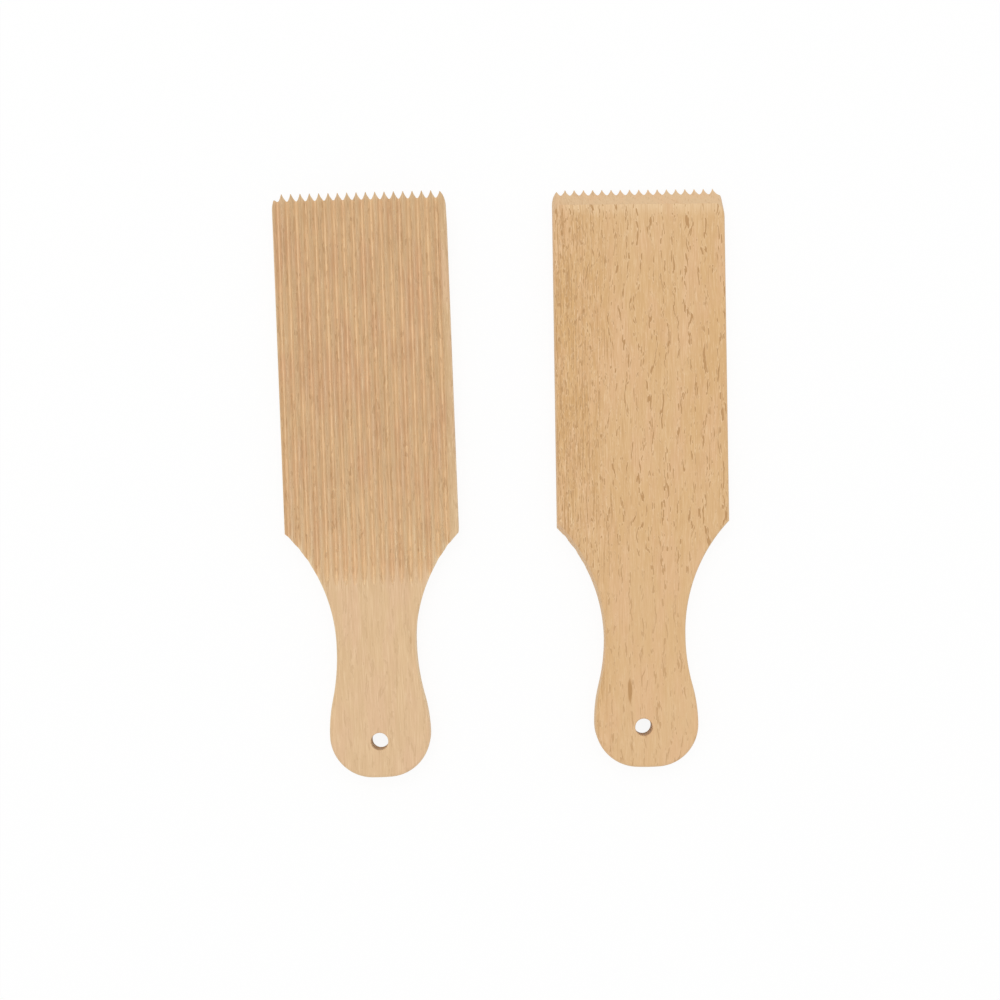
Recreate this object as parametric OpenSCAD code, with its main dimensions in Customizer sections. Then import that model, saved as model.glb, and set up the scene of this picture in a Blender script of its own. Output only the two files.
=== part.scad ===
// A pair of gnocchi boards. Each board is one piece of beech: a blade with rolling ridges on
// one face, a bevelled toothed end, curved shoulders and a paddle handle with a hanging hole.
// One board lies with its ridges up and the other lies beside it, turned over.
// A board's own frame: Y runs from the handle end to the toothed end, the back face is at
// Z = 0 and the ridged face is at Z = thick.

/* [Blade] */
// Thickness of each board
thick = 9; // [6:0.5:16]
// Slope of the toothed end from upright; the ridged face reaches further than the back
bevel = 37.5; // [0:0.5:50]
// Width of the rounding at each corner of the toothed end
corner_w = 2; // [0.5:0.1:6]
// Length of the rounding at each corner of the toothed end
corner_l = 4.5; // [0.5:0.1:12]
// Radius of the curve from the shoulder to the waist
shoulder_r = 56.6; // [45:0.2:90]
// How much nearer the handle the canted shoulder lies on the ridged face than on the back
shoulder_cant = 2; // [0:0.1:5]
// How much nearer the handle than the waist the canted shoulder starts on the ridged face
shoulder_drop = 1; // [0:0.1:3]

/* [Ridges] */
// Number of grooves across the blade
groove_n = 18; // [6:1:20]
// Distance from one groove to the next
groove_pitch = 3.26; // [2.4:0.02:3.6]
// Depth of the grooves
groove_depth = 2.3; // [1:0.1:4]
// Width of the flat floor of a groove
groove_floor = 0.6; // [0.2:0.1:1.2]
// Width of the flat crest of a ridge
crest_w = 0.25; // [0.15:0.05:1]
// How far the crests lie below the handle's face
skim = 0.1; // [0.05:0.05:0.5]
// Sideways place of the ridged field on the blade
groove_shift = -0.75; // [-2:0.01:2]
// Length of the ridged field, from the toothed end to where the grooves run out
field_l = 137.5; // [80:0.5:150]
// Radius of the cutter that leaves the run-out
cutter_r = 28; // [8:1:60]

/* [Handle] */
// Height of the waist above the handle end
waist_y = 45.3; // [38:0.1:60]
// Radius of the rounded corners of the handle end
grip_corner_r = 14.9; // [10:0.1:17]
// Radius of the gently swollen sides of the grip
grip_side_r = 53; // [30:1:100]
// Radius of the nearly flat handle end
handle_end_r = 75; // [30:1:120]

/* [Edges] */
// Radius of the rounded edges along the sides
ease = 1.1; // [0.3:0.1:2]
// Rounding left at the toothed end
end_ease = 0.3; // [0.1:0.1:1]

/* [Hanging hole] */
// Diameter of the hanging hole
hole_d = 6; // [3:0.1:12]
// Width of the broken edge round the hole
hole_rim = 0.3; // [0.1:0.1:1]

/* [Board with its ridges up] */
// Overall length
up_l = 204.4; // [170:0.1:240]
// Width of the blade
up_blade_w = 60.8; // [60:0.1:80]
// Width at the waist
up_waist_w = 27.8; // [22:0.1:32]
// Widest place of the grip
up_grip_w = 35.1; // [34:0.1:44]
// How far the handle end stands to the right of the blade's middle
up_lean = 0.3; // [-2:0.1:2]
// Turn of the toothed end against the sides, in degrees
up_end_skew = 0.7; // [-1:0.1:1]
// Turn of the ridges against the sides, in degrees
up_ridge_skew = 0.3; // [-1:0.1:1]
// Distance from the handle end to the hanging hole
up_hole_y = 12.6; // [10:0.1:20]
// How far the hanging hole stands to the right of the blade's middle
up_hole_x = 0; // [-3:0.1:3]
// Turn of the board as it lies, in degrees
up_turn = 2.25; // [-10:0.01:10]

/* [Board with its back up] */
// Overall length
back_l = 203; // [170:0.1:240]
// Width of the blade
back_blade_w = 60.1; // [60:0.1:80]
// Width at the waist
back_waist_w = 28.2; // [22:0.1:32]
// Widest place of the grip
back_grip_w = 36.1; // [34:0.1:44]
// How far the handle end stands to the right of the blade's middle, seen from the ridges
back_lean = -0.2; // [-2:0.1:2]
// Turn of the toothed end against the sides, in degrees
back_end_skew = -0.3; // [-1:0.1:1]
// Turn of the ridges against the sides, in degrees
back_ridge_skew = 0; // [-1:0.1:1]
// Distance from the handle end to the hanging hole
back_hole_y = 14; // [10:0.1:20]
// How far the hanging hole stands to the right of the blade's middle, seen from the ridges
back_hole_x = 0.9; // [-3:0.1:3]
// Turn of the board as it lies, in degrees
back_turn = 0.86; // [-10:0.01:10]

/* [Pair] */
// Free space between the two boards
pair_gap = 32.8; // [10:0.1:80]
// How much lower the handle end of the first board lies
stagger = 3.6; // [-20:0.1:20]

/* [Hidden] */
beech = "BurlyWood";
// Places of a board's own sizes in its list
LENGTH = 0;
BLADE = 1;
WAIST = 2;
GRIP = 3;
LEAN = 4;
END_SKEW = 5;
RIDGE_SKEW = 6;
HOLE_X = 7;
HOLE_Y = 8;
up_board = [
    up_l, up_blade_w, up_waist_w, up_grip_w, up_lean,
    up_end_skew, up_ridge_skew, up_hole_x, up_hole_y
];
back_board = [
    back_l, back_blade_w, back_waist_w, back_grip_w, back_lean,
    back_end_skew, back_ridge_skew, back_hole_x, back_hole_y
];
// Steps along each arc of the outline and round each eased edge
end_steps = 3;
corner_steps = 9;
side_steps = 4;
waist_steps = 6;
shoulder_steps = 10;
tip_steps = 5;
ease_steps = 3;
// Cutters reach this far past the wood
over = 1;

// Points on an arc from angle a to angle b, without the first one
function arc(c, r, a, b, n) = [
    for (i = [1:n]) let (t = a + (b - a) * i / n) [c[0] + r * cos(t), c[1] + r * sin(t)]
];

// Points on the quarter ellipse that rounds a corner of the toothed end
function tip_arc(c, n) = [
    for (i = [0:n]) let (t = 90 * i / n) [c[0] + corner_w * cos(t), c[1] + corner_l * sin(t)]
];

// One side of the outline, from the middle of the handle end to the toothed end. It is drawn
// inset by e; the shoulder lies lift further from the handle, and the tips reach end_y.
function side_line(board, e, lift, end_y) =
    let (
        blade = board[BLADE] / 2,
        waist = board[WAIST] / 2,
        grip = board[GRIP] / 2,
        bulb_x = grip - grip_corner_r,
        bulb_y = handle_end_r - sqrt(pow(handle_end_r - grip_corner_r, 2) - pow(bulb_x, 2)),
        end_a = atan2(bulb_y - handle_end_r, bulb_x),
        side_x = grip - grip_side_r,
        dx = waist - side_x,
        dy = waist_y - bulb_y,
        waist_r = (dx * dx + dy * dy - pow(grip_side_r, 2)) / (2 * (grip_side_r - dx)),
        side_a = asin(dy / (grip_side_r + waist_r)),
        shoulder_a = acos((waist + shoulder_r - blade + e) / (shoulder_r + e))
    )
    concat(
        arc([0, handle_end_r], handle_end_r - e, -90, end_a, end_steps),
        arc([bulb_x, bulb_y], grip_corner_r - e, end_a, 0, corner_steps),
        arc([side_x, bulb_y], grip_side_r - e, 0, side_a, side_steps),
        arc([waist + waist_r, waist_y], waist_r + e, 180 + side_a, 180, waist_steps),
        arc(
            [waist + shoulder_r, waist_y + lift], shoulder_r + e,
            180, 180 - shoulder_a, shoulder_steps
        ),
        tip_arc([blade - e - corner_w, end_y - corner_l], tip_steps)
    );

// The handle's sideways lean and the skewed end, laid on an outline point
function laid(board, p, end_y) =
    let (
        root = waist_y + shoulder_r / 2,
        lean = board[LEAN] * max(0, 1 - p[1] / root),
        skew = p[1] > end_y - corner_l - 0.01 ? -p[0] * tan(board[END_SKEW]) : 0
    )
    [p[0] + lean, p[1] + skew];

// The whole outline at height z, inset by e, as points in space
function ring(board, z, e) =
    let (
        low = thick - z,
        end_y = board[LENGTH] - low * tan(bevel) + e * (1 - end_ease / ease) - end_ease,
        right = side_line(board, e, shoulder_cant * low / thick - shoulder_drop, end_y),
        left = side_line(board, e, shoulder_cant - shoulder_drop, end_y),
        flat = concat(
            [[0, e]],
            right,
            [for (i = [len(left) - 1:-1:0]) [-left[i][0], left[i][1]]]
        )
    )
    [for (p = flat) let (q = laid(board, p, end_y)) [q[0], q[1], z]];

// All rings of a board from its back face up, with a quarter round at both faces
function rings(board) = concat(
    [
        for (i = [0:ease_steps])
        let (a = 90 * i / ease_steps)
        ring(board, ease * (1 - cos(a)), ease * (1 - sin(a)))
    ],
    [
        for (i = [ease_steps:-1:0])
        let (a = 90 * i / ease_steps)
        ring(board, thick - ease * (1 - cos(a)), ease * (1 - sin(a)))
    ]
);

// Two triangles for each step between neighbouring rings
function wall_faces(m, n) = [
    for (j = [0:m - 2], i = [0:n - 1], f = [0, 1])
    let (k = (i + 1) % n)
    f == 0
        ? [j * n + i, (j + 1) * n + i, (j + 1) * n + k]
        : [j * n + i, (j + 1) * n + k, j * n + k]
];

// A flat face laid from rungs that join the outline's two sides, starting at point s
function rung_faces(s, n, up) = [
    for (i = [0:(n - 3) / 2], f = [0, 1])
    if (i > 0 || f == 0)
    let (
        t = f == 0
            ? [s + i, s + i + 1, s + n - 1 - i]
            : [s + i, s + n - 1 - i, s + n - i]
    )
    up ? [t[2], t[1], t[0]] : t
];

// The wood before the ridges are cut: the outline with eased edges and the sloping end
module blank(board) {
    levels = rings(board);
    m = len(levels);
    n = len(levels[0]);
    polyhedron(
        points = [for (r = levels, p = r) p],
        faces = concat(
            rung_faces(0, n, false),
            wall_faces(m, n),
            rung_faces((m - 1) * n, n, true)
        )
    );
}

// The cutter's edge, as points of sideways place and height above the groove floors. It is
// drawn across all grooves and closed well above the wood.
function comb(wide) = concat(
    [[-wide, groove_depth + skim + over], [-wide, groove_depth]],
    [
        for (i = [0:groove_n - 1], k = [0:3])
        let (
            middle_x = groove_shift + (i - (groove_n - 1) / 2) * groove_pitch,
            side = k < 2 ? -1 : 1,
            high = k == 0 || k == 3
        )
        [
            middle_x + side * (high ? (groove_pitch - crest_w) / 2 : groove_floor / 2),
            high ? groove_depth : 0
        ]
    ],
    [[wide, groove_depth], [wide, groove_depth + skim + over]]
);

// All grooves of a board. They are drawn straight along the blade, and the last stretch is
// the arc in which the round cutter leaves the wood.
module ridge_field(board) {
    edge = comb(board[BLADE]);
    floor_z = thick - skim - groove_depth;
    run_out = sqrt(pow(cutter_r, 2) - pow(cutter_r - groove_depth - skim, 2));
    straight = field_l - run_out;
    translate([0, board[LENGTH], floor_z])
        rotate([0, 0, -board[RIDGE_SKEW]]) {
            translate([0, over, 0])
                rotate([90, 0, 0])
                    linear_extrude(height = straight + over)
                        polygon(edge);
            translate([0, -straight, cutter_r])
                rotate([0, 90, 0])
                    rotate_extrude($fn = 72)
                        polygon([for (p = edge) [cutter_r - p[1], p[0]]]);
        }
}

// The hanging hole with its edges broken on both faces
module hanging_hole(board) {
    r = hole_d / 2;
    translate([board[HOLE_X], board[HOLE_Y], 0]) {
        translate([0, 0, -over])
            cylinder(h = thick + 2 * over, r = r, $fn = 48);
        for (face = [0, 1])
            translate([0, 0, face * thick])
                mirror([0, 0, face])
                    translate([0, 0, -over])
                        cylinder(h = over + hole_rim, r1 = r + hole_rim + over, r2 = r, $fn = 48);
    }
}

// One whole board, back face down
module board(board) {
    difference() {
        blank(board);
        ridge_field(board);
        hanging_hole(board);
    }
}

// Plan points of a board as it lies, turned over when side is -1
function plan(board, side, turn) = [
    for (r = rings(board), p = r)
    [side * p[0] * cos(turn) - p[1] * sin(turn), side * p[0] * sin(turn) + p[1] * cos(turn)]
];

function low(points, k) = min([for (p = points) p[k]]);
function high(points, k) = max([for (p = points) p[k]]);

up_plan = plan(up_board, 1, up_turn);
back_plan = plan(back_board, -1, back_turn);
// The first board ends at X = 0 and the second starts one gap further
up_at = [-high(up_plan, 0), 0];
back_at = [pair_gap - low(back_plan, 0), stagger];
middle = [
    (low(up_plan, 0) + up_at[0] + high(back_plan, 0) + back_at[0]) / 2,
    (
        min(low(up_plan, 1), low(back_plan, 1) + stagger)
        + max(high(up_plan, 1), high(back_plan, 1) + stagger)
    ) / 2
];

module board_ridges_up() {
    color(beech)
        translate([up_at[0] - middle[0], up_at[1] - middle[1], 0])
            rotate([0, 0, up_turn])
                board(up_board);
}

module board_back_up() {
    color(beech)
        translate([back_at[0] - middle[0], back_at[1] - middle[1], thick])
            rotate([0, 0, back_turn])
                rotate([0, 180, 0])
                    board(back_board);
}

board_ridges_up();
board_back_up();
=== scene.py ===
"""Looks of a pair of beech gnocchi boards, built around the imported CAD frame.

Each board is made again in a finer mesh from the sizes that its CAD solid has: a blank with
eased edges, a comb-shaped cutter for the rolling ridges and a cutter for the hanging hole.
One lies with its ridges up and the other lies turned over. All lengths are in metres.
"""

import math

import bpy
import numpy as np
from mathutils import Matrix, Vector


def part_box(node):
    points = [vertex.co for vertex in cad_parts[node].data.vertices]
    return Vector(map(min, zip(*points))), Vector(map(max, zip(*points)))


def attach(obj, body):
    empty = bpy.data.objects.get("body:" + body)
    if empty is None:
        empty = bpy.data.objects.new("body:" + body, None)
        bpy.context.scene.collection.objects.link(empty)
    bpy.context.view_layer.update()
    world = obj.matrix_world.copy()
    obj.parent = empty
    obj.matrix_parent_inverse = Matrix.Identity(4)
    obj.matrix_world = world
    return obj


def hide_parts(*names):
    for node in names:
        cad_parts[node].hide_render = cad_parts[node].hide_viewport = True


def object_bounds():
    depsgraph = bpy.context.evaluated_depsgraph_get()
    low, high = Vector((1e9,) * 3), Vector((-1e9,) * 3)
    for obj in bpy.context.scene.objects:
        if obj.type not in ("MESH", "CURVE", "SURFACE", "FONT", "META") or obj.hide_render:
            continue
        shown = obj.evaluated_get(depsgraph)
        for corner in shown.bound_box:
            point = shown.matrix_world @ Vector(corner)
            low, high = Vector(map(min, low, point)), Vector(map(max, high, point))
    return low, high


bl_info = {
    "name": "Gnocchi boards",
    "version": (1, 0, 0),
    "blender": (4, 5, 0),
    "location": "3D View > Sidebar > Gnocchi boards",
    "description": "Builds a pair of ridged beech gnocchi boards with their stage",
    "category": "Object",
}

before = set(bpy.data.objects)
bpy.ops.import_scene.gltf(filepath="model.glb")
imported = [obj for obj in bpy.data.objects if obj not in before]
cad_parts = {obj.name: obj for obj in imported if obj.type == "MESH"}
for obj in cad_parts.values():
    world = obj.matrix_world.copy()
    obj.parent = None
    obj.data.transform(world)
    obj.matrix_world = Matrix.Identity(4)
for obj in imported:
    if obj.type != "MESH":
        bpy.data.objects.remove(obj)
CAD_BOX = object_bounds()
MM = 0.001


# Sizes and colours that a user would change


def size(name, description, default, low=0.0, high=0.5):
    """A length in metres."""
    return bpy.props.FloatProperty(
        name=name, description=description, default=default, min=low, soft_max=high,
        precision=5, unit="LENGTH", subtype="DISTANCE",
    )


def offset(name, description, default):
    """A length in metres that may be negative."""
    return size(name, description, default, low=-0.5)


def angle(name, description, degrees):
    """An angle, given here in degrees and kept in radians."""
    return bpy.props.FloatProperty(
        name=name, description=description, default=math.radians(degrees),
        precision=3, unit="ROTATION", subtype="ANGLE",
    )


def share(name, description, default, high=1.0):
    """A plain number from 0 up."""
    return bpy.props.FloatProperty(
        name=name, description=description, default=default, min=0.0, soft_max=high,
        subtype="FACTOR" if high == 1.0 else "NONE",
    )


def colour(name, description, *levels):
    """A colour, given here as its three levels on a screen, from 0 to 255, and kept linear."""
    linear = [((level / 255 + 0.055) / 1.055) ** 2.4 for level in levels]
    return bpy.props.FloatVectorProperty(
        name=name, description=description, default=linear, size=3, min=0.0, max=1.0,
        subtype="COLOR",
    )


class BoardPattern(bpy.types.PropertyGroup):
    """The sizes that both boards share, as if sawn to one pattern."""

    thickness: size("Thickness", "Thickness of each board", (CAD_BOX[1] - CAD_BOX[0]).z)
    bevel: angle("Bevel", "Slope of the toothed end from upright", 37.5)
    corner_width: size("Corner width", "Width of the rounding at the toothed end", 0.002)
    corner_length: size("Corner length", "Length of that rounding along the blade", 0.0045)
    shoulder_radius: size("Shoulder radius", "Curve from the shoulder to the waist", 0.0566)
    shoulder_cant: size("Shoulder cant", "How far the canted shoulder leans", 0.002)
    shoulder_drop: size("Shoulder drop", "How far below the waist the cant starts", 0.001)
    waist_height: size("Waist height", "Waist above the handle end", 0.0453)
    grip_corner: size("Grip corner", "Radius of the handle end's corners", 0.0149)
    grip_side: size("Grip side", "Radius of the grip's swollen sides", 0.053)
    handle_end: size("Handle end", "Radius of the nearly flat handle end", 0.075)
    ease: size("Eased edges", "Radius of the rounded edges along the sides", 0.0011)
    end_ease: size("Eased end", "Rounding left at the toothed end", 0.0003)
    hole: size("Hole", "Diameter of the hanging hole", 0.006)
    hole_rim: size("Hole rim", "Rounding of the hole's edges", 0.0004)


class Ridges(bpy.types.PropertyGroup):
    """The rolling ridges and the cutter that leaves them."""

    count: bpy.props.IntProperty(
        name="Grooves", description="Number of grooves across the blade", default=18, min=1,
    )
    pitch: size("Pitch", "Distance from one groove to the next", 0.00326)
    depth: size("Depth", "Depth of the grooves", 0.0023)
    floor: size("Floor", "Width of the flat floor of a groove", 0.0006)
    crest: size("Crest", "Width of the crest of a ridge", 0.00025)
    crest_softness: size("Crest softness", "Reach of the rounding at the crests", 0.00011)
    floor_softness: size("Floor softness", "Reach of the rounding at the floors", 0.00028)
    skim: size("Skim", "How far the crests lie below the handle's face", 0.0001)
    shift: offset("Shift", "Sideways place of the ridged field", -0.00075)
    field: size("Field", "Length from the toothed end to the end of the run-out", 0.1375)
    cutter: size("Cutter radius", "Radius of the cutter that leaves the run-out", 0.028)


def board_fields(
    length, blade, waist, grip, lean, end_skew, ridge_skew, hole_x, hole_y, turn,
):
    """The properties of one board, with its own sizes as the defaults.

    Lengths are given in metres and angles in degrees.
    """
    return {
        "length": size("Length", "Overall length", length),
        "blade": size("Blade", "Width of the blade", blade),
        "waist": size("Waist", "Width at the waist", waist),
        "grip": size("Grip", "Widest place of the grip", grip),
        "lean": offset("Lean", "How far the handle end stands to the right", lean),
        "end_skew": angle("End skew", "Turn of the toothed end against the sides", end_skew),
        "ridge_skew": angle("Ridge skew", "Turn of the ridges against the sides", ridge_skew),
        "hole_x": offset("Hole offset", "Hanging hole from the blade's middle", hole_x),
        "hole_y": size("Hole height", "Hanging hole above the handle end", hole_y),
        "turn": angle("Turn", "Turn of the board as it lies", turn),
    }


class RidgesUpBoard(bpy.types.PropertyGroup):
    """Sizes of the board that lies with its ridges up."""

    __annotations__ = board_fields(
        length=0.2044, blade=0.0608, waist=0.0278, grip=0.0351, lean=0.0003, end_skew=0.7,
        ridge_skew=0.3, hole_x=0.0, hole_y=0.0126, turn=2.25,
    )


class BackUpBoard(bpy.types.PropertyGroup):
    """Sizes of the board that lies turned over."""

    __annotations__ = board_fields(
        length=0.203, blade=0.0601, waist=0.0282, grip=0.0361, lean=-0.0002, end_skew=-0.3,
        ridge_skew=0.0, hole_x=0.0009, hole_y=0.014, turn=0.86,
    )


def wood_fields(
    pale, warm, rosy, sawn, light, deep, fleck, flush, lines, line_length, open_lines, small,
    large, milled, handle, worn, pale_ridges, toned, mark, mark_half, mark_strength,
):
    """The properties of one board's beech, with its own look as the defaults.

    Tones are given as their levels on a screen, and lengths in metres.
    """
    return {
        "pale": colour("Pale wood", "Lightest tone of the wood", *pale),
        "warm": colour("Warm wood", "Tone of the broad warmer bands", *warm),
        "rosy": colour("Rosy wood", "Tone of the pinkish patches", *rosy),
        "sawn": colour("Sawn wood", "Tone of the sawn and milled surfaces", *sawn),
        # Also the colour of the painted highlights along the arris and round the flecks, and of
        # the painted light on the ridges
        "light": colour("Light lines", "Tone of the fine light lines along the grain", *light),
        "deep": colour("Dark lines", "Tone of the fine dark lines along the grain", *deep),
        "fleck": colour("Ray flecks", "Tone of the short dark flecks", *fleck),
        "ring": size("Ring width", "Growth of the tree in one year", 0.003),
        "flush": share("Flush", "How strongly the pinkish patches show", flush),
        "lines": share("Line strength", "How strongly the fine lines show", lines),
        "line_length": size("Line length", "Length of the fine lines", line_length),
        "open_lines": share("Open lines", "Share of the lines where flecks stand", open_lines),
        "small": share("Small flecks", "How strongly the small flecks show", small),
        "large": share("Large flecks", "How strongly the large flecks show", large),
        "milled": share("Milled figure", "Share of lines and flecks on milled wood", milled),
        "handle": share("Handle figure", "Share of lines and flecks on the handle", handle),
        # Painted highlight: how much paler the face is painted towards the arris at the toothed
        # end
        "worn": share("Worn edge", "How much paler the face is at the toothed end", worn),
        # Painted light on the shaded floors and run-outs of the grooves, and paler crests
        "pale_ridges": share(
            "Pale ridges", "How much paler the grooves' floors are towards the toothed end, and "
            "the crests and the run-outs towards the handle", pale_ridges,
        ),
        "toned": share("Toned blade", "How deep the tone of the blade's sanded face is", toned),
        "mark": bpy.props.FloatVectorProperty(
            name="Mark", description="Place of a natural mark, across and along the board",
            default=mark, size=2, precision=5, unit="LENGTH", subtype="XYZ",
        ),
        "mark_half": bpy.props.FloatVectorProperty(
            name="Mark size", description="Half width and half length of that mark",
            default=mark_half, size=2, precision=5, unit="LENGTH", subtype="XYZ",
        ),
        "mark_strength": share("Mark strength", "How strongly that mark shows", mark_strength),
    }


class RidgedBeech(bpy.types.PropertyGroup):
    """Look of the beech of the board with its ridges up."""

    __annotations__ = wood_fields(
        pale=(225, 191, 150), warm=(220, 185, 140), rosy=(226, 188, 152), sawn=(231, 202, 162),
        light=(246, 220, 180), deep=(186, 150, 106), fleck=(180, 140, 96),
        flush=0.6, lines=0.38, line_length=0.008, open_lines=1.0, small=0.5, large=0.36,
        milled=1.0, handle=0.65, worn=0.0, pale_ridges=0.32, toned=0.35,
        mark=(0.0122, 0.0475), mark_half=(0.0004, 0.0015), mark_strength=0.4,
    )


class BackBeech(bpy.types.PropertyGroup):
    """Look of the beech of the board that lies turned over."""

    __annotations__ = wood_fields(
        pale=(223, 186, 140), warm=(216, 174, 120), rosy=(226, 184, 142), sawn=(221, 188, 147),
        light=(239, 209, 169), deep=(192, 146, 94), fleck=(182, 137, 87),
        flush=0.6, lines=0.54, line_length=0.006, open_lines=0.55, small=0.75, large=0.85,
        milled=0.25, handle=0.6, worn=0.5, pale_ridges=0.3, toned=0.0,
        mark=(-0.0056, 0.0268), mark_half=(0.0008, 0.0044), mark_strength=0.85,
    )


class Studio(bpy.types.PropertyGroup):
    """Floor, light and camera."""

    floor: colour("Floor", "Colour of the floor", 251, 251, 250)
    shadow: share("Shadow", "Share of the boards' shadow that shows on the floor", 0.1)
    ambient: share("Ambient", "Strength of the light from all round", 0.80, high=4.0)
    key_power: bpy.props.FloatProperty(
        name="Key light", description="Power of the soft light above", default=12.0, min=0.0,
        unit="POWER",
    )
    key_size: size("Key size", "Side of the square soft light", 1.6, high=3.0)
    key_distance: size("Key distance", "From the soft light to the boards", 2.2, high=5.0)
    key_back: angle("Key tilt", "Tilt of the soft light towards the toothed ends", 18)
    key_left: angle("Key left", "Tilt of the soft light to the left", 5)
    eye_x: offset("Camera across", "Place of the camera across the boards", -0.0002)
    eye_y: offset("Camera along", "Place of the camera along the boards", -0.00672)
    eye_height: size("Camera height", "Height of the camera above the floor", 0.657, high=5.0)
    view_angle: angle("View angle", "Angle that the picture takes in", 30.14)


class GnocchiBoardSettings(bpy.types.PropertyGroup):
    """Everything that the panel shows."""

    pattern: bpy.props.PointerProperty(type=BoardPattern, name="Pattern")
    ridges: bpy.props.PointerProperty(type=Ridges, name="Ridges")
    up: bpy.props.PointerProperty(type=RidgesUpBoard, name="Board with its ridges up")
    back: bpy.props.PointerProperty(type=BackUpBoard, name="Board with its back up")
    up_wood: bpy.props.PointerProperty(type=RidgedBeech, name="Beech, ridges up")
    back_wood: bpy.props.PointerProperty(type=BackBeech, name="Beech, back up")
    studio: bpy.props.PointerProperty(type=Studio, name="Studio")


# Shapes


OVER = 0.001  # cutters reach this far past the wood
HAIR = 0.00001  # far less than any distance between two points of an outline
EASE_STEPS = 6
OUTLINE_STEPS = {"end": 16, "corner": 28, "side": 14, "waist": 24, "shoulder": 36, "tip": 14}
BEND_STEPS = 6
RUN_OUT_STEPS = 40
HOLE_STEPS = 72
FLARE_STEPS = 8
FLARE_START = math.radians(75)
LEAST_FACES = 1000  # a board with fewer has lost its ridges
SHARP = math.radians(32)


def arc(centre, radius, start, stop, steps):
    """Points (cx + r cos t, cy + r sin t) for t from start to stop, without the first one."""
    t = np.linspace(start, stop, steps + 1)[1:]
    return np.stack([centre[0] + radius * np.cos(t), centre[1] + radius * np.sin(t)], axis=1)


def side_line(pattern, board, inset, lift, end_y):
    """Right half of the outline, from the handle end to the toothed end.

    Tangent arcs follow each other: the handle end, its corner, the swollen grip and the waist,
    whose radius is solved so that it touches the grip. The shoulder's arc meets the blade's
    straight side, and a quarter ellipse rounds the tip. Convex arcs lose inset from their
    radius and hollow ones gain it, which keeps the line parallel to the outer one.
    """
    steps = OUTLINE_STEPS
    blade, waist, grip = board.blade / 2, board.waist / 2, board.grip / 2
    corner, side, end = pattern.grip_corner, pattern.grip_side, pattern.handle_end
    bulb = (grip - corner, end - math.sqrt((end - corner) ** 2 - (grip - corner) ** 2))
    end_angle = math.atan2(bulb[1] - end, bulb[0])
    side_x = grip - side
    dx, dy = waist - side_x, pattern.waist_height - bulb[1]
    hollow = (dx**2 + dy**2 - side**2) / (2 * (side - dx))
    side_angle = math.asin(dy / (side + hollow))
    round_r = pattern.shoulder_radius
    shoulder_angle = math.acos((waist + round_r - blade + inset) / (round_r + inset))
    t = np.linspace(0, math.pi / 2, steps["tip"] + 1)
    tip = np.stack([
        blade - inset - pattern.corner_width * (1 - np.cos(t)),
        end_y - pattern.corner_length * (1 - np.sin(t)),
    ], axis=1)
    return np.concatenate([
        arc((0, end), end - inset, -math.pi / 2, end_angle, steps["end"]),
        arc(bulb, corner - inset, end_angle, 0, steps["corner"]),
        arc((side_x, bulb[1]), side - inset, 0, side_angle, steps["side"]),
        arc(
            (waist + hollow, pattern.waist_height), hollow + inset,
            math.pi + side_angle, math.pi, steps["waist"],
        ),
        arc(
            (waist + round_r, pattern.waist_height + lift), round_r + inset,
            math.pi, math.pi - shoulder_angle, steps["shoulder"],
        ),
        tip,
    ])


def outline_ring(pattern, board, z, inset):
    """The whole outline at height z as an n x 3 array, anticlockwise from the handle end.

    The toothed end draws back by (thickness - z) tan(bevel). The shoulder stands off by its
    cant on the left, and on the right by the share of the cant that belongs to this height,
    both less the drop. From the middle of the shoulder down each point moves sideways by the
    lean, growing evenly to the handle end, and the points of the toothed end are skewed by
    y - x tan(skew).
    """
    low = pattern.thickness - z
    kept = pattern.end_ease / pattern.ease
    end_y = board.length - low * math.tan(pattern.bevel)
    end_y += inset * (1 - kept) - pattern.end_ease
    cant, drop = pattern.shoulder_cant, pattern.shoulder_drop
    right = side_line(pattern, board, inset, cant * low / pattern.thickness - drop, end_y)
    left = side_line(pattern, board, inset, cant - drop, end_y)[::-1] * (-1, 1)
    flat = np.concatenate([[(0, inset)], right, left])
    x, y = flat.T
    root = pattern.waist_height + pattern.shoulder_radius / 2
    skewed = y > end_y - pattern.corner_length - HAIR
    return np.stack([
        x + board.lean * np.maximum(0, 1 - y / root),
        y - skewed * x * math.tan(board.end_skew),
        np.full(len(flat), z),
    ], axis=1)


def blank_rings(pattern, board):
    """Rings of the uncut board from its back face up, as an m x n x 3 array.

    A quarter round joins each face to the sides: inset r (1 - sin a) at height r (1 - cos a).
    """
    a = np.linspace(0, math.pi / 2, EASE_STEPS + 1)
    inset = pattern.ease * (1 - np.sin(a))
    height = pattern.ease * (1 - np.cos(a))
    levels = list(zip(height, inset))
    levels += list(zip(pattern.thickness - height, inset))[::-1]
    return np.array([outline_ring(pattern, board, z, e) for z, e in levels])


def ramp(v, reach):
    """max(v, 0) with its corner rounded by a parabola from -reach to reach."""
    return np.clip(v + reach, 0, 2 * reach) ** 2 / (4 * reach) + np.maximum(v - reach, 0)


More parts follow.
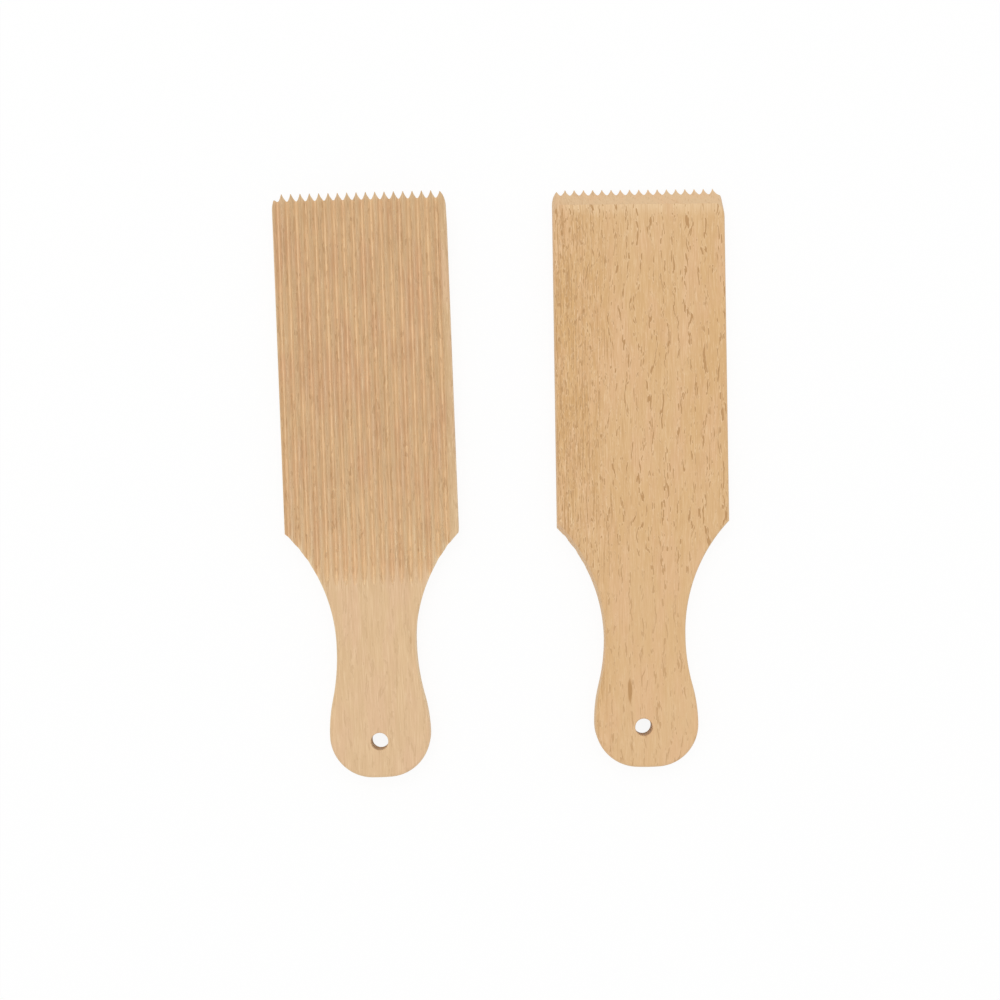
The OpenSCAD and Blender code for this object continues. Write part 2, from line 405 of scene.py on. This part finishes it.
def comb_profile(ridges, wide):
    """Edge of the cutter as an n x 2 array of sideways place and height above the floors.

    In each groove the height is a rounded ramp that starts at the edge of the floor, less one
    that starts at the edge of the crest. The profile is closed well above the wood.
    """
    inner = ridges.floor / 2
    outer = (ridges.pitch - ridges.crest) / 2
    cove, crown = ridges.floor_softness, ridges.crest_softness
    bend = np.linspace(-1, 1, BEND_STEPS)
    half = np.concatenate([inner + cove * bend, outer + crown * bend])
    u = np.concatenate([-half[::-1], half])
    slope = ridges.depth / (outer - inner)
    h = slope * (ramp(np.abs(u) - inner, cove) - ramp(np.abs(u) - outer, crown))
    middle = ridges.shift + (np.arange(ridges.count) - (ridges.count - 1) / 2) * ridges.pitch
    teeth = np.stack([
        (middle[:, None] + u).ravel(), np.broadcast_to(h, (ridges.count, len(u))).ravel(),
    ], axis=1)
    top = ridges.depth + ridges.skim + OVER
    return np.concatenate([
        [(-wide, top), (-wide, ridges.depth)], teeth, [(wide, ridges.depth), (wide, top)],
    ])


def comb_rings(pattern, ridges, board):
    """The comb carried straight along the blade and then round the cutter's arc.

    A profile point at height h keeps y = 0 and z = h while straight. After an angle a of the
    arc it stands at y = -(R - h) sin a and z = R - (R - h) cos a from where the arc starts.
    """
    x, h = comb_profile(ridges, board.blade).T
    R = ridges.cutter
    cut = ridges.depth + ridges.skim
    straight = ridges.field - math.sqrt(R**2 - (R - cut) ** 2)
    last = math.acos(1 - (cut + 2 * OVER) / R)
    a = np.concatenate([[0.0], np.linspace(0, last, RUN_OUT_STEPS)])[:, None]
    along = np.concatenate([[OVER], np.full(RUN_OUT_STEPS, -straight)])[:, None]
    y = along - (R - h) * np.sin(a)
    z = R - (R - h) * np.cos(a)
    turn = -board.ridge_skew
    return np.stack([
        x * math.cos(turn) - y * math.sin(turn),
        board.length + x * math.sin(turn) + y * math.cos(turn),
        pattern.thickness - cut + z,
    ], axis=2)


def hole_rings(pattern, board):
    """The hole's cutter: circles whose radius flares by a quarter round at both faces.

    At the rounding's angle t the radius is r + q (1 - cos t) and the depth is q (1 - sin t).
    The last stretch runs on along its tangent, past the wood.
    """
    r, q = pattern.hole / 2, pattern.hole_rim
    t = np.linspace(FLARE_START, 0, FLARE_STEPS)
    radius = r + q * (1 - np.cos(t))
    depth = q * (1 - np.sin(t))
    radius = np.concatenate([[radius[0] + OVER * math.tan(t[0])], radius])
    depth = np.concatenate([[-OVER + depth[0]], depth])
    radius = np.concatenate([radius, radius[::-1]])[:, None]
    z = np.concatenate([depth, pattern.thickness - depth[::-1]])[:, None]
    around = np.linspace(0, 2 * math.pi, HOLE_STEPS, endpoint=False)
    return np.stack([
        board.hole_x + radius * np.cos(around),
        board.hole_y + radius * np.sin(around),
        np.broadcast_to(z, (len(z), HOLE_STEPS)),
    ], axis=2)


def skin(name, rings, rungs=False):
    """A closed mesh from an m x n x 3 array of rings: quads between neighbouring rings, and a
    cap at each end. With rungs a cap is laid in strips from side to side, as the hollow waist
    needs; else it is one face."""
    m, n, _ = rings.shape
    here = np.arange(n)
    start = (np.arange(m - 1) * n)[:, None]
    beside = (here + 1) % n
    quads = np.stack(
        [start + here, start + beside, start + n + beside, start + n + here], axis=2,
    ).reshape(-1, 4)
    if rungs:
        i = np.arange(1, (n - 1) // 2)[:, None]
        strips = np.concatenate([i, i + 1, n - 1 - i, n - i], axis=1)
        cap = [[0, 1, n - 1]] + strips.tolist()
    else:
        cap = [here.tolist()]
    bottom = [face[::-1] for face in cap]
    top = [[(m - 1) * n + k for k in face] for face in cap]
    mesh = bpy.data.meshes.new(name)
    mesh.from_pydata(rings.reshape(-1, 3).tolist(), [], quads.tolist() + bottom + top)
    return mesh


def add_object(name, data):
    """Links an object for the data to the scene."""
    made = bpy.data.objects.new(name, data)
    bpy.context.scene.collection.objects.link(made)
    return made


def cut_board(name, settings, board):
    """The finished mesh of one board in its own frame: the blank less the two cutters."""
    pattern = settings.pattern
    blank = add_object(name + "_blank", skin(name, blank_rings(pattern, board), rungs=True))
    cutters = [
        add_object(name + "_comb", skin("comb", comb_rings(pattern, settings.ridges, board))),
        add_object(name + "_drill", skin("drill", hole_rings(pattern, board))),
    ]
    for cutter in cutters:
        cut = blank.modifiers.new(cutter.name, "BOOLEAN")
        cut.operation = "DIFFERENCE"
        cut.solver = "MANIFOLD"
        cut.object = cutter
    scene_now = bpy.context.evaluated_depsgraph_get()
    mesh = bpy.data.meshes.new_from_object(blank.evaluated_get(scene_now))
    for scrap in [blank, *cutters]:
        bpy.data.objects.remove(scrap)
    if len(mesh.polygons) < LEAST_FACES:
        raise RuntimeError(f"{name}: the cutters left no ridged board")
    mesh.name = name
    return mesh


def lay_board(mesh, node, turn, turned_over):
    """Turns the mesh as the board lies and sets the middle of its box on the CAD node's.

    Gives back the place of its handle end, halfway up, for the grain to follow.
    """
    over = Matrix.Rotation(math.pi if turned_over else 0, 4, "Y")
    mesh.transform(Matrix.Rotation(turn, 4, "Z") @ over)
    points = np.empty(len(mesh.vertices) * 3)
    mesh.vertices.foreach_get("co", points)
    points = points.reshape(-1, 3)
    low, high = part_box(node)
    place = (low + high) / 2 - Vector((points.min(0) + points.max(0)) / 2)
    mesh.transform(Matrix.Translation(place))
    return Vector((place.x, place.y, (low.z + high.z) / 2))


def finish_board(mesh, name, node, material):
    """Shades the mesh and puts it in the CAD node's stead, riding on the one body."""
    mesh.shade_smooth()
    mesh.set_sharp_from_angle(angle=SHARP)
    mesh.materials.clear()
    mesh.materials.append(material)
    board = add_object(name, mesh)
    even = board.modifiers.new("Even shading", "WEIGHTED_NORMAL")
    even.keep_sharp = True
    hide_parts(node)
    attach(board, "root")


# Materials


class Graph:
    """A node tree that is filled one node at a time."""

    def __init__(self, owner):
        owner.use_nodes = True
        self.tree = owner.node_tree
        self.tree.nodes.clear()

    def add(self, kind, inputs=None, output=0, **options):
        """Adds a node with its options, and its inputs by name or number as a value or as a
        socket to link. Gives back one of its output sockets, if it has any."""
        node = self.tree.nodes.new(kind)
        for option, value in options.items():
            setattr(node, option, value)
        for key, value in (inputs or {}).items():
            if isinstance(value, bpy.types.NodeSocket):
                self.tree.links.new(value, node.inputs[key])
            else:
                node.inputs[key].default_value = value
        return node.outputs[output] if len(node.outputs) else None

    def math(self, operation, a, b=0.0):
        """One step of arithmetic on two values, or on the first alone."""
        return self.add("ShaderNodeMath", {0: a, 1: b}, operation=operation)

    def product(self, first, *others):
        """All the values multiplied with each other."""
        for other in others:
            first = self.math("MULTIPLY", first, other)
        return first

    def scaled(self, vector, *factors):
        """The vector with each part times its own factor."""
        return self.add("ShaderNodeVectorMath", {0: vector, 1: factors}, operation="MULTIPLY")

    def noise(self, vector, detail, roughness=0.5, output=0):
        """A noise from about 0.3 to 0.7, as a value or, from output 1, as three at once."""
        return self.add("ShaderNodeTexNoise", {
            "Vector": vector, "Scale": 1.0, "Detail": detail, "Roughness": roughness,
        }, output=output)

    def moved(self, vector, pace, reach):
        """The vector pushed about by a noise that changes at the given pace."""
        push = self.noise(self.scaled(vector, *pace), 2.0, output=1)
        return self.add("ShaderNodeVectorMath", {0: push, 1: reach, 2: vector},
                        operation="MULTIPLY_ADD")

    def length(self, vector):
        """The length of a vector."""
        return self.add("ShaderNodeVectorMath", {0: vector}, output=1, operation="LENGTH")

    def less(self, vector, other):
        """The first vector less the other."""
        return self.add("ShaderNodeVectorMath", {0: vector, 1: other}, operation="SUBTRACT")

    def part(self, vector, axis):
        """One of the three parts of a vector."""
        return self.add("ShaderNodeSeparateXYZ", {0: vector}, output=axis)

    def between(self, value, low, high, start=0.0, stop=1.0):
        """A smooth step from start to stop as the value goes from low to high."""
        return self.add("ShaderNodeMapRange", {
            "Value": value, "From Min": low, "From Max": high, "To Min": start, "To Max": stop,
        }, interpolation_type="SMOOTHSTEP")

    def zone(self, *steps):
        """The product of smooth steps, each given as a value and where it goes from 0 to 1."""
        return self.product(*[self.between(*step) for step in steps])

    def mix(self, factor, a, b):
        """Colour a where the factor is 0 and colour b where it is 1."""
        return self.add("ShaderNodeMix", {0: factor, 6: a, 7: b}, output=2, data_type="RGBA")


def rgba(colour_value):
    """A property's colour with full alpha."""
    return (*colour_value, 1.0)


# Lengths in the wood are in millimetres: across the board, along it from the handle end, and up
# from halfway between its faces.
RIDGES_UP_PITH = (-40, 0, -60)
BACK_UP_PITH = (58, 0, -48)

# How fast each noise changes, in each direction, per millimetre
SWAY_PACE = (0.03, 0.012, 0.03)
WAVE_PACE = (0.1, 0.06, 0.1)
STAGGER_PACE = (0.25, 0.03, 0.25)
SWELL_PACE = (0.05, 0.055, 0.05)
STREAK_PACE = (0.8, 0.035, 0.6)
CLOUD_PACE = (0.05, 0.018, 0.05)
FLUSH_PACE = (0.16, 0.045, 0.1)
FINE_ACROSS, FINE_UP = 3.0, 1.5

# How far the noises push the grain about, and how far they swell the growth rings
SWAY = (3.0, 0, 0)
WAVE = (5.0, 0, 0)
STAGGER = (0, 9.0, 0)
SWELL = 7.0

# Size of the cells in which spindles grow, and how rare these are
LARGE_CELL, LARGE_RARITY = (0.44, 3.3, 8.0), 0.71
SMALL_CELL, SMALL_RARITY = (0.38, 3.0, 5.0), 0.74
LINE_CELL, LINE_RARITY = (0.5, 20.0, 5.0), 0.71
CROWDING = 0.16
# The pale rims round the flecks are a painted highlight
RIM_START, RIM_STOP, CORE_STOP = -0.09, -0.03, 0.045
HIGHLIGHT_RIM_STRENGTH = 0.3

# Where each look begins to show and where it shows in full: in |x| / r of the growth rings, as
# a share of a ring's width from its middle, and in millimetres under the sanded faces
STEEP = (0.73, 0.86)
COLUMN = (0.3, 0.05)
MILLED = (0.05, 0.6)

# The same along the board, in millimetres from the handle end
BLADE_FIGURE = (55.0, 85.0)
BLADE_TONE = (60.0, 90.0)
BLADE_WARMTH = (60.0, 95.0)
END_WARMTH = (200.0, 160.0)
# The painted highlight along the arris reaches this far
PAINTED_ARRIS_HIGHLIGHT_BAND = 4.5  # from where it begins to the arris

# The same in a noise's value
CLOUDS = (0.35, 0.65)
PINK = (0.42, 0.68)
DARK_LINES = (0.38, 0.66)
LIGHT_LINES = (0.44, 0.28)
ROUGH = (0.3, 0.7)

# The same in a noise's value plus the distance from the mark's middle in its half sizes
MARK_EDGE = (1.7, 1.2)

# The same for the painted light on the ridged side, where the grooves are shaded, and for the
# paler crests, in millimetres under that side and then along the board, each from the one end
# and from the other
PAINTED_LIGHT_FLOORS = ((2.0, 2.35), (2.7, 2.5)), ((90.0, 140.0), (200.0, 192.0))
PAINTED_LIGHT_CRESTS = ((0.02, 0.08), (0.5, 0.2)), ((62.0, 72.0), (110.0, 75.0))
PAINTED_LIGHT_RUN_OUTS = ((0.1, 0.4), (2.7, 2.5)), ((56.0, 66.0), (150.0, 70.0))

LARGE_AMONG_LINES = 0.2  # share of the large flecks that is left where the lines stand close
CLOUD_WARMTH, PLACE_WARMTH = 0.4, 0.3
FINE_SHARE = 0.65  # of the dark lines, and the rest is the wider streaks'
GRAIN_RELIEF, RELIEF_HEIGHT, RELIEF_STRENGTH = 0.6, 0.00008, 0.5
ROUGHNESS, GLOSS = (0.58, 0.72), 0.3


def spindles(graph, wood, cell, crowd, rarity):
    """Short dark spindles along the grain, as the wood's rays show where the face cuts them.

    They are the high places of a noise stretched to the cell. The noise less its rarity, plus
    what the crowd adds to it, has to pass zero. Gives back their pale rims, a painted
    highlight that reaches a little further, and then the spindles.
    """
    grain = graph.noise(graph.scaled(wood, *[1 / side for side in cell]), 1.0, 0.4)
    height = graph.math("ADD", grain, graph.math("MULTIPLY", crowd, CROWDING))
    return (graph.between(height, rarity + RIM_START, rarity + RIM_STOP),
            graph.between(height, rarity, rarity + CORE_STOP))


def growth(graph, ring_width, wood, waved, pith):
    """How steeply the growth rings are cut, and the columns that they leave on the face.

    The distance r from the pith, swollen by a slow noise, over the ring's width counts the
    rings, and a column lies along the middle of each. The rings are cut steeply where |x| / r
    is high.
    """
    across = graph.scaled(graph.less(waved, pith), 1, 0, 1)
    radius = graph.length(across)
    steep = graph.math("DIVIDE", graph.math("ABSOLUTE", graph.part(across, 0)), radius)
    swell = graph.math("MULTIPLY", graph.noise(graph.scaled(wood, *SWELL_PACE), 1.0), SWELL)
    ring = graph.math("DIVIDE", graph.math("ADD", radius, swell), ring_width)
    off_middle = graph.math("ABSOLUTE", graph.math("SUBTRACT", graph.math("FRACT", ring), 0.5))
    return graph.between(steep, *STEEP), graph.between(off_middle, *COLUMN)


def pale_ridges(graph, along, deep):
    """Where light is painted on the ridged side, where shade falls: the floors of the grooves
    towards the toothed end and all of the run-outs. The crests are paler towards the handle.
    Deep is the depth under that side."""
    pale = 0.0
    for depths, heights in (PAINTED_LIGHT_FLOORS, PAINTED_LIGHT_CRESTS, PAINTED_LIGHT_RUN_OUTS):
        steps = [(deep, *step) for step in depths] + [(along, *step) for step in heights]
        pale = graph.math("ADD", pale, graph.zone(*steps))
    return pale


def beech(name, look, place, turn, thickness, arris, ridged_side, pith):
    """Unfinished steamed beech as a solid texture along the board's grain.

    Growth rings lie round a far pith below the board. Where the face cuts them steeply the
    wood shows close fine lines, and where it cuts them flat it shows wavy columns of flecks,
    one to each ring, each with a painted highlight as its pale rim. Sawn and milled surfaces,
    all that lies under the sanded faces, have a tone of their own. A highlight is painted pale
    on the face along the arris, the line in which it ends at the toothed end, and painted light
    lies on the ridged side's floors and run-outs, with the crests paler too. The ridged side is
    1 where the ridges are up and -1 where they are down.
    """
    material = bpy.data.materials.new(name)
    graph = Graph(material)
    point = graph.add("ShaderNodeTexCoord", output=3)
    straight = graph.add("ShaderNodeMapping", {
        "Vector": point, "Location": place, "Rotation": (0, 0, turn), "Scale": (MM,) * 3,
    }, vector_type="TEXTURE")
    wood = graph.moved(straight, SWAY_PACE, SWAY)
    waved = graph.moved(graph.moved(wood, WAVE_PACE, WAVE), STAGGER_PACE, STAGGER)
    close, column = growth(graph, look.ring / MM, wood, waved, pith)

    open_columns = graph.math(
        "MULTIPLY", column, graph.between(close, 0.0, 1.0, 1.0, LARGE_AMONG_LINES),
    )
    large_highlight_rim, large = spindles(graph, waved, LARGE_CELL, open_columns, LARGE_RARITY)
    small_highlight_rim, small = spindles(graph, waved, SMALL_CELL, close, SMALL_RARITY)
    line = spindles(graph, wood, LINE_CELL, close, LINE_RARITY)[1]
    fine = graph.noise(
        graph.scaled(wood, FINE_ACROSS, MM / look.line_length, FINE_UP), 2.0, 0.6,
    )
    streak = graph.noise(graph.scaled(wood, *STREAK_PACE), 2.0)
    cloud = graph.noise(graph.scaled(straight, *CLOUD_PACE), 2.0)
    flush = graph.noise(graph.scaled(wood, *FLUSH_PACE), 2.0)

    along = graph.part(straight, 1)
    up = graph.part(straight, 2)
    half_thick = thickness / 2 / MM
    below = graph.between(
        graph.math("ABSOLUTE", up), *[half_thick - depth for depth in MILLED],
    )
    deep = graph.math("SUBTRACT", half_thick, graph.math("MULTIPLY", up, ridged_side))

    blade = graph.zone((along, *BLADE_WARMTH), (along, *END_WARMTH))
    warmth = graph.math(
        "ADD", graph.between(cloud, *CLOUDS, 0.0, CLOUD_WARMTH),
        graph.math("MULTIPLY", graph.math("ADD", close, blade), PLACE_WARMTH),
    )
    tone = graph.mix(warmth, rgba(look.pale), rgba(look.warm))
    for mask, shade in (
        # painted highlight along the arris, in the light lines' colour
        (graph.between(along, arris - PAINTED_ARRIS_HIGHLIGHT_BAND, arris, 0.0, look.worn), look.light),
        (graph.between(along, *BLADE_TONE, 0.0, look.toned), look.deep),
        (below, look.sawn),
        (graph.between(flush, *PINK, 0.0, look.flush), look.rosy),
        # painted light on the grooves' floors and run-outs, and paler crests, in the light
        # lines' colour
        (graph.math("MULTIPLY", pale_ridges(graph, along, deep), look.pale_ridges), look.light),
    ):
        tone = graph.mix(mask, tone, rgba(shade))

    dark = graph.between(
        graph.math("ADD", graph.math("MULTIPLY", fine, FINE_SHARE),
                   graph.math("MULTIPLY", streak, 1 - FINE_SHARE)), *DARK_LINES,
    )
    bright = graph.between(fine, *LIGHT_LINES)
    clear = graph.math("MULTIPLY", graph.between(below, 0.0, 1.0, 1.0, look.milled),
                       graph.between(along, *BLADE_FIGURE, look.handle, 1.0))
    drawn = graph.between(close, 0.0, 1.0, look.lines * look.open_lines, look.lines)
    for mask, strength, shade in (
        (dark, drawn, look.deep),
        (bright, drawn, look.light),
        (line, look.lines, look.fleck),
        # painted highlight: pale rims round the flecks, in the light lines' colour
        (small_highlight_rim, look.small * HIGHLIGHT_RIM_STRENGTH, look.light),
        (large_highlight_rim, look.large * HIGHLIGHT_RIM_STRENGTH, look.light),
        (small, look.small, look.fleck),
        (large, look.large, look.fleck),
    ):
        tone = graph.mix(graph.product(mask, clear, strength), tone, rgba(shade))

    mark_x, mark_y = look.mark
    half_x, half_y = look.mark_half
    from_mark = graph.less(straight, (mark_x / MM, mark_y / MM, 0))
    within = graph.length(graph.scaled(from_mark, MM / half_x, MM / half_y, 0))
    ragged = graph.math("ADD", within, fine)
    mark = graph.between(ragged, *MARK_EDGE, 0.0, look.mark_strength)
    tone = graph.mix(mark, tone, rgba(look.fleck))

    relief = graph.math("SUBTRACT", graph.math("MULTIPLY", fine, GRAIN_RELIEF),
                        graph.math("ADD", small, large))
    bump = graph.add("ShaderNodeBump", {
        "Strength": RELIEF_STRENGTH, "Distance": RELIEF_HEIGHT, "Height": relief,
    })
    shader = graph.add("ShaderNodeBsdfPrincipled", {
        "Base Color": tone, "Normal": bump, "Specular IOR Level": GLOSS,
        "Roughness": graph.between(fine, *ROUGH, *ROUGHNESS),
    })
    graph.add("ShaderNodeOutputMaterial", {"Surface": shader})
    return material


WHITE = (1.0, 1.0, 1.0, 1.0)
FLOOR_REACH = 4.0  # metres from the boards to the floor's edges


def seen_directly(graph):
    """1 for rays that come from the camera, a mirror or glass, which see plain white."""
    path = graph.tree.nodes.new("ShaderNodeLightPath")
    seen = graph.math("MAXIMUM", path.outputs["Is Camera Ray"], path.outputs["Is Glossy Ray"])
    return graph.math("MAXIMUM", seen, path.outputs["Is Transmission Ray"])


def floor_material(studio):
    """A matt white floor. What is seen of it is mostly plain white, with a share of its light
    and shadow."""
    material = bpy.data.materials.new("studio_floor")
    graph = Graph(material)
    lit = graph.add("ShaderNodeBsdfDiffuse", {"Color": rgba(studio.floor)})
    white = graph.add("ShaderNodeEmission", {"Color": WHITE, "Strength": 1.0})
    share_white = graph.math("MULTIPLY", seen_directly(graph), 1 - studio.shadow)
    surface = graph.add("ShaderNodeMixShader", {0: share_white, 1: lit, 2: white})
    graph.add("ShaderNodeOutputMaterial", {"Surface": surface})
    return material


# Operators


def build_board(settings, board, look, node, ridged_side, pith):
    """Builds a board in its CAD node's stead. The ridged side is 1 where the ridges are up and
    -1 where they are down, where the toothed end slopes away from the upper face."""
    pattern = settings.pattern
    turned_over = ridged_side < 0
    slope = pattern.thickness * math.tan(pattern.bevel) if turned_over else 0
    name = "gnocchi_" + node
    mesh = cut_board(name, settings, board)
    place = lay_board(mesh, node, board.turn, turned_over)
    wood = beech(node.replace("board", "beech"), look, place, board.turn, pattern.thickness,
                 (board.length - slope) / MM, ridged_side, pith)
    finish_board(mesh, name, node, wood)


class BuildRidgesUpBoard(bpy.types.Operator):
    """Build the board that lies with its ridges up"""

    bl_idname = "gnocchi.board_ridges_up"
    bl_label = "Board with its ridges up"

    def execute(self, context):
        settings = context.scene.gnocchi_boards
        build_board(settings, settings.up, settings.up_wood, "board_ridges_up",
                    1, RIDGES_UP_PITH)
        return {"FINISHED"}


class BuildBackUpBoard(bpy.types.Operator):
    """Build the board that lies turned over, with its back up"""

    bl_idname = "gnocchi.board_back_up"
    bl_label = "Board with its back up"

    def execute(self, context):
        settings = context.scene.gnocchi_boards
        build_board(settings, settings.back, settings.back_wood, "board_back_up",
                    -1, BACK_UP_PITH)
        return {"FINISHED"}


class BuildStudio(bpy.types.Operator):
    """Build the floor, the light and the camera"""

    bl_idname = "gnocchi.studio"
    bl_label = "Studio"

    def execute(self, context):
        scene = context.scene
        studio = scene.gnocchi_boards.studio
        scene.view_settings.view_transform = "Standard"

        corners = np.array([(-1, -1, 0), (1, -1, 0), (1, 1, 0), (-1, 1, 0)]) * FLOOR_REACH
        plane = bpy.data.meshes.new("studio_floor")
        plane.from_pydata(corners.tolist(), [], [(0, 1, 2, 3)])
        plane.materials.append(floor_material(studio))
        add_object("studio_floor", plane)

        world = bpy.data.worlds.new("studio_world")
        scene.world = world
        graph = Graph(world)
        light = graph.add("ShaderNodeBackground", {"Color": WHITE, "Strength": studio.ambient})
        white = graph.add("ShaderNodeBackground", {"Color": WHITE, "Strength": 1.0})
        sky = graph.add("ShaderNodeMixShader", {0: seen_directly(graph), 1: light, 2: white})
        graph.add("ShaderNodeOutputWorld", {"Surface": sky})

        lamp = bpy.data.lights.new("key_light", "AREA")
        lamp.size = studio.key_size
        lamp.energy = studio.key_power
        key = add_object("key_light", lamp)
        towards = Vector((-math.tan(studio.key_left), math.tan(studio.key_back), 1)).normalized()
        key.location = towards * studio.key_distance
        key.rotation_euler = towards.to_track_quat("Z", "Y").to_euler()
        key.visible_camera = False

        eye = add_object("camera", bpy.data.cameras.new("camera"))
        eye.data.angle = studio.view_angle
        eye.location = (studio.eye_x, studio.eye_y, studio.eye_height)
        scene.camera = eye
        return {"FINISHED"}


class GnocchiBoardPanel(bpy.types.Panel):
    """Lists the sizes and colours, and a button for each piece"""

    bl_idname = "VIEW3D_PT_gnocchi_boards"
    bl_label = "Gnocchi boards"
    bl_space_type = "VIEW_3D"
    bl_region_type = "UI"
    bl_category = "Gnocchi boards"

    def draw(self, context):
        settings = context.scene.gnocchi_boards
        for group_name in settings.bl_rna.properties.keys():
            group = getattr(settings, group_name)
            if isinstance(group, bpy.types.PropertyGroup):
                box = self.layout.box()
                box.label(text=settings.bl_rna.properties[group_name].name)
                for field in type(group).__annotations__:
                    box.prop(group, field)
        for operator in OPERATORS:
            self.layout.operator(operator.bl_idname)


OPERATORS = (BuildRidgesUpBoard, BuildBackUpBoard, BuildStudio)
CLASSES = (
    BoardPattern, Ridges, RidgesUpBoard, BackUpBoard, RidgedBeech, BackBeech, Studio,
    GnocchiBoardSettings, *OPERATORS, GnocchiBoardPanel,
)


def register():
    for cls in CLASSES:
        bpy.utils.register_class(cls)
    bpy.types.Scene.gnocchi_boards = bpy.props.PointerProperty(type=GnocchiBoardSettings)


def unregister():
    del bpy.types.Scene.gnocchi_boards
    for cls in reversed(CLASSES):
        bpy.utils.unregister_class(cls)


def main():
    """Builds the whole scene."""
    register()
    bpy.ops.gnocchi.board_ridges_up()
    bpy.ops.gnocchi.board_back_up()
    bpy.ops.gnocchi.studio()


if __name__ == "__main__":
    main()
